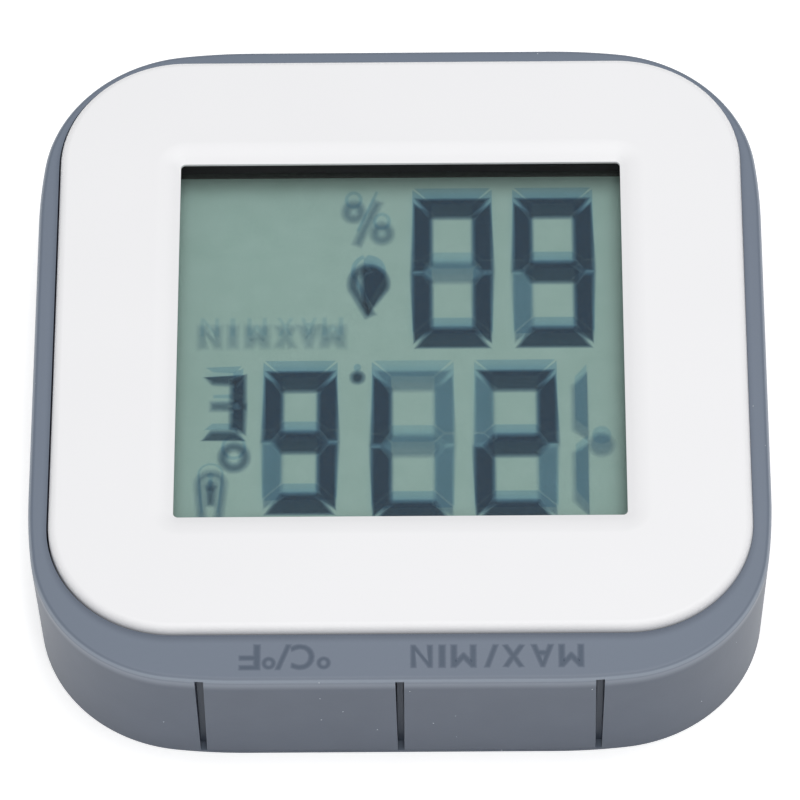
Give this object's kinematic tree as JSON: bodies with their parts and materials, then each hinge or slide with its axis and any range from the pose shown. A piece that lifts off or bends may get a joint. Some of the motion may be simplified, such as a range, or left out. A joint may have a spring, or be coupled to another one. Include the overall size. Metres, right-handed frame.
{
  "type": "temperature humidity sensor",
  "caption": "Square room thermometer and hygrometer in a rubber sleeve, with a segment display, push flaps on one edge, a coin cell door and a folding stand.",
  "frame": {"origin": "middle of the footprint on the plane that the back rests on", "axes": "+Z out of the display, -Y towards the edge with the two buttons, which is the top when it is read, +Y towards the edge that it stands on"},
  "size_m": [0.06, 0.062, 0.0124],
  "materials": {
    "sleeve_rubber": "matte",
    "face_abs": "satin",
    "case_abs": "fine texture",
    "gasket_foam": "matte",
    "polariser_film": "anti-glare",
    "display_glass": "clear",
    "display_segments": "matte",
    "reflector_film": "matte",
    "carrier_plastic": "matte",
    "zebra_rubber": "matte",
    "board_laminate": "satin",
    "chip_resin": "gloss",
    "chip_ceramic": "matte",
    "sensor_ceramic": "matte",
    "switch_plastic": "matte",
    "plated_steel": "nickel plated",
    "screw_steel": "zinc plated"
  },
  "bodies": {
    "case": {"rubber_sleeve": "sleeve_rubber", "face_plate": "face_abs", "lcd_gasket": "gasket_foam", "front_polariser": "polariser_film", "lcd_front_glass": "display_glass", "liquid_crystal": "display_segments", "lcd_rear_glass": "display_glass", "rear_reflector": "reflector_film", "lcd_carrier": "carrier_plastic", "zebra_strip": "zebra_rubber", "circuit_board": "board_laminate", "chip_blob": "chip_resin", "crystal_can": "plated_steel", "chip_parts": "chip_ceramic", "humidity_sensor": "sensor_ceramic", "thermistor": "chip_resin", "unit_switch_body": "switch_plastic", "max_min_switch_body": "switch_plastic", "coin_cell": "plated_steel", "positive_contact": "plated_steel", "negative_contact": "plated_steel", "back_cover": "case_abs", "case_screws": "screw_steel"},
    "unit_flap": {"unit_button": "sleeve_rubber"},
    "max_min_flap": {"max_min_button": "sleeve_rubber"},
    "unit_plunger": {"unit_switch_plunger": "switch_plastic"},
    "max_min_plunger": {"max_min_switch_plunger": "switch_plastic"},
    "door": {"battery_door": "case_abs"},
    "leg": {"stand_leg": "case_abs"}
  },
  "joints": [
    {"name": "unit_button_press", "type": "hinge", "parent": "case", "child": "unit_flap", "pos_m": [-0.00796, -0.03025, 0.0104], "axis": [1, 0, 0], "range_deg": [0, 3], "stiffness_Nm_per_rad": 0.05},
    {"name": "max_min_button_press", "type": "hinge", "parent": "case", "child": "max_min_flap", "pos_m": [0.00796, -0.03025, 0.0104], "axis": [1, 0, 0], "range_deg": [0, 3], "stiffness_Nm_per_rad": 0.05},
    {"name": "unit_switch_press", "type": "slide", "parent": "case", "child": "unit_plunger", "axis": [0, 1, 0], "range_m": [0, 0.00032]},
    {"name": "max_min_switch_press", "type": "slide", "parent": "case", "child": "max_min_plunger", "axis": [0, 1, 0], "range_m": [0, 0.00032]},
    {"name": "battery_door_turn", "type": "hinge", "parent": "case", "child": "door", "pos_m": [0, -0.009, 0.0003], "axis": [0, 0, 1], "range_deg": [0, 40]},
    {"name": "stand_leg_swing", "type": "hinge", "parent": "case", "child": "leg", "pos_m": [0, 0.0075, 0.00135], "axis": [-1, 0, 0], "range_deg": [0, 55]}
  ],
  "couplings": [
    {"joint": "unit_switch_press", "follows": "unit_button_press", "m_per_rad": 0.0058},
    {"joint": "max_min_switch_press", "follows": "max_min_button_press", "m_per_rad": 0.0058}
  ]
}
